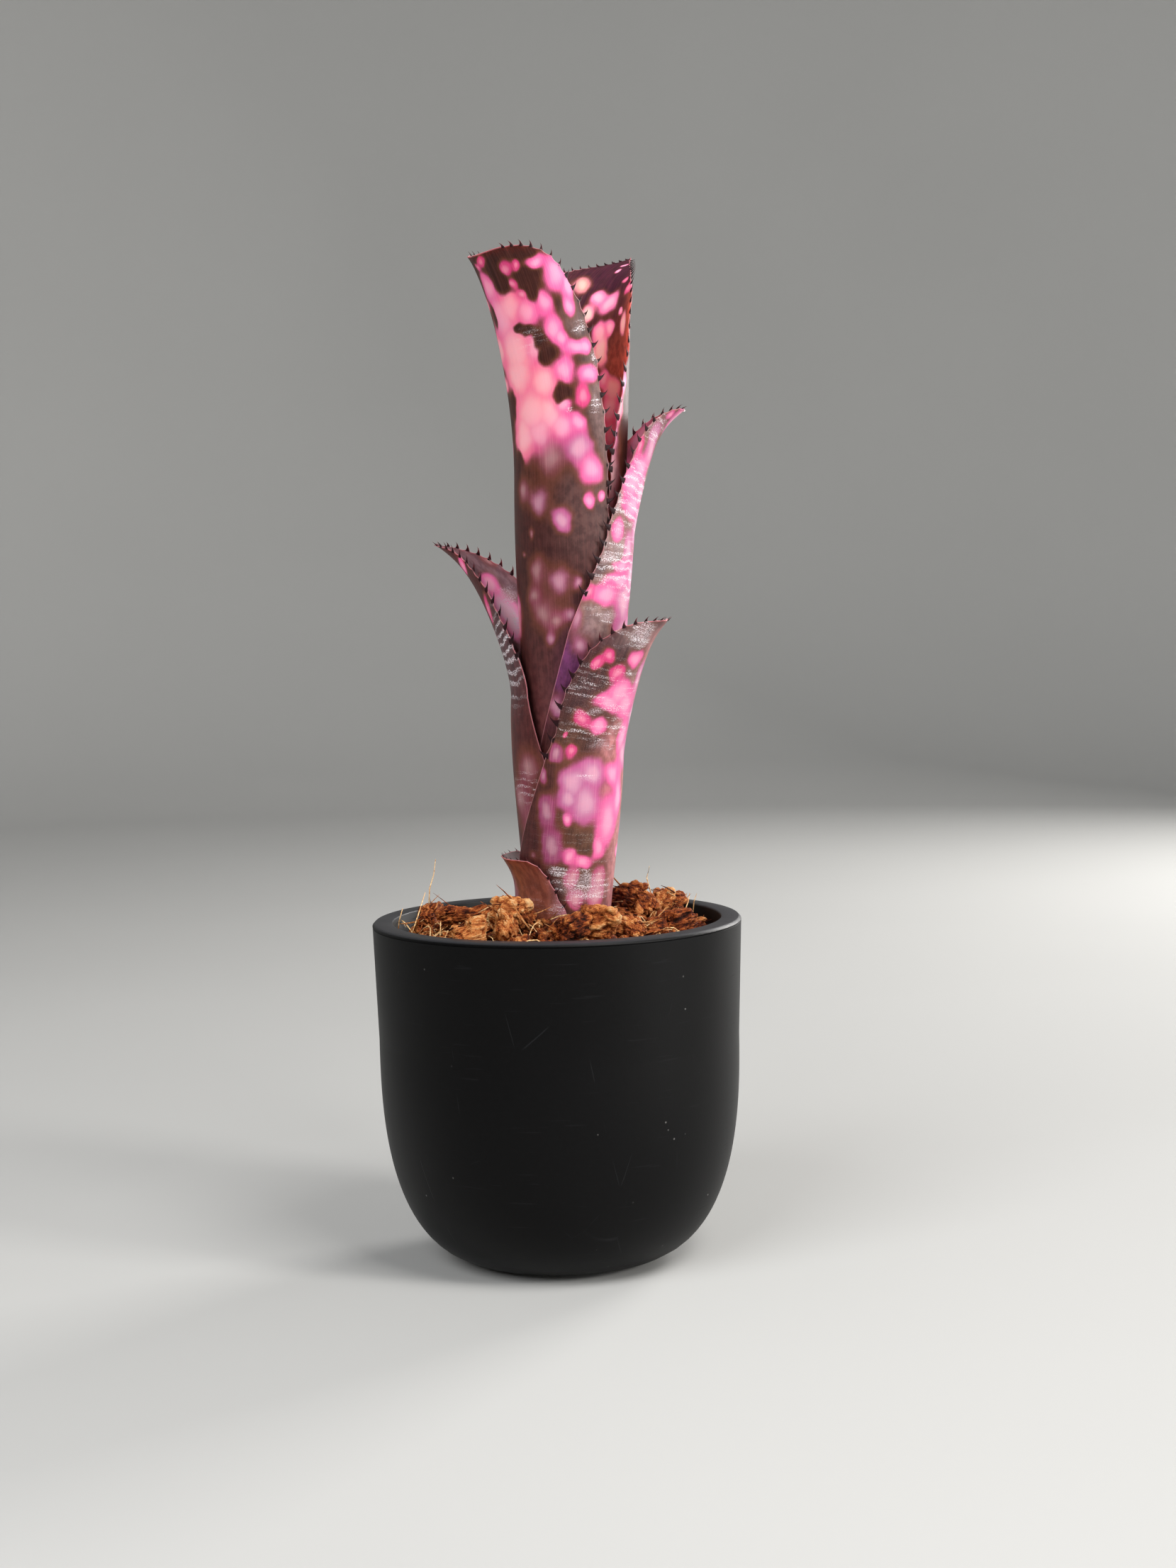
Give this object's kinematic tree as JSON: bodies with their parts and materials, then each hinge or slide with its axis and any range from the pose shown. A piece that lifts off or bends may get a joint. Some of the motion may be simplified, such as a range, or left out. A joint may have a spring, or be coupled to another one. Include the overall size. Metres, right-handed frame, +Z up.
{
  "type": "potted billbergia",
  "caption": "Tubular bromeliad with spiny, strap-shaped leaves mottled pink on maroon, in a round-bottomed black pot filled with coconut husk chips.",
  "frame": {"origin": "middle of the pot's flat underside", "axes": "+Z up, +X to the right in the front view, -Y towards the viewer of the front view"},
  "size_m": [0.095, 0.095, 0.2609],
  "materials": {
    "pot_resin": "matte black, thin worn chamfer round the rim, a few dust specks and light scratches",
    "coconut_husk": "dry fibrous chips with loose coir fibres",
    "stem_tissue": "pale brown stem with wiry roots, hidden in the chips",
    "heart_leaf": "young rolled leaf, deep purple brown with few pink blotches",
    "tall_back_leaf": "deep red brown inner face with soft pink and cream blotches",
    "tall_front_leaf": "chocolate maroon with soft hot pink and peach blotches, fine lengthwise lines",
    "middle_right_leaf": "maroon with pink blotches under wavy silver bands of scurf",
    "left_leaf": "maroon with mauve blotches and silver green bands of scurf",
    "lower_right_leaf": "chocolate maroon with large hot pink blotches and silver scurf",
    "basal_leaf": "olive brown with rosy edges, a little scurf"
  },
  "bodies": {
    "root": {"pot": "pot_resin", "husk_chips": "coconut_husk", "stem_and_roots": "stem_tissue", "heart_leaf": "heart_leaf", "tall_back_leaf": "tall_back_leaf", "tall_front_leaf": "tall_front_leaf", "middle_right_leaf": "middle_right_leaf", "left_leaf": "left_leaf", "lower_right_leaf": "lower_right_leaf", "basal_leaf": "basal_leaf"}
  },
  "joints": []
}
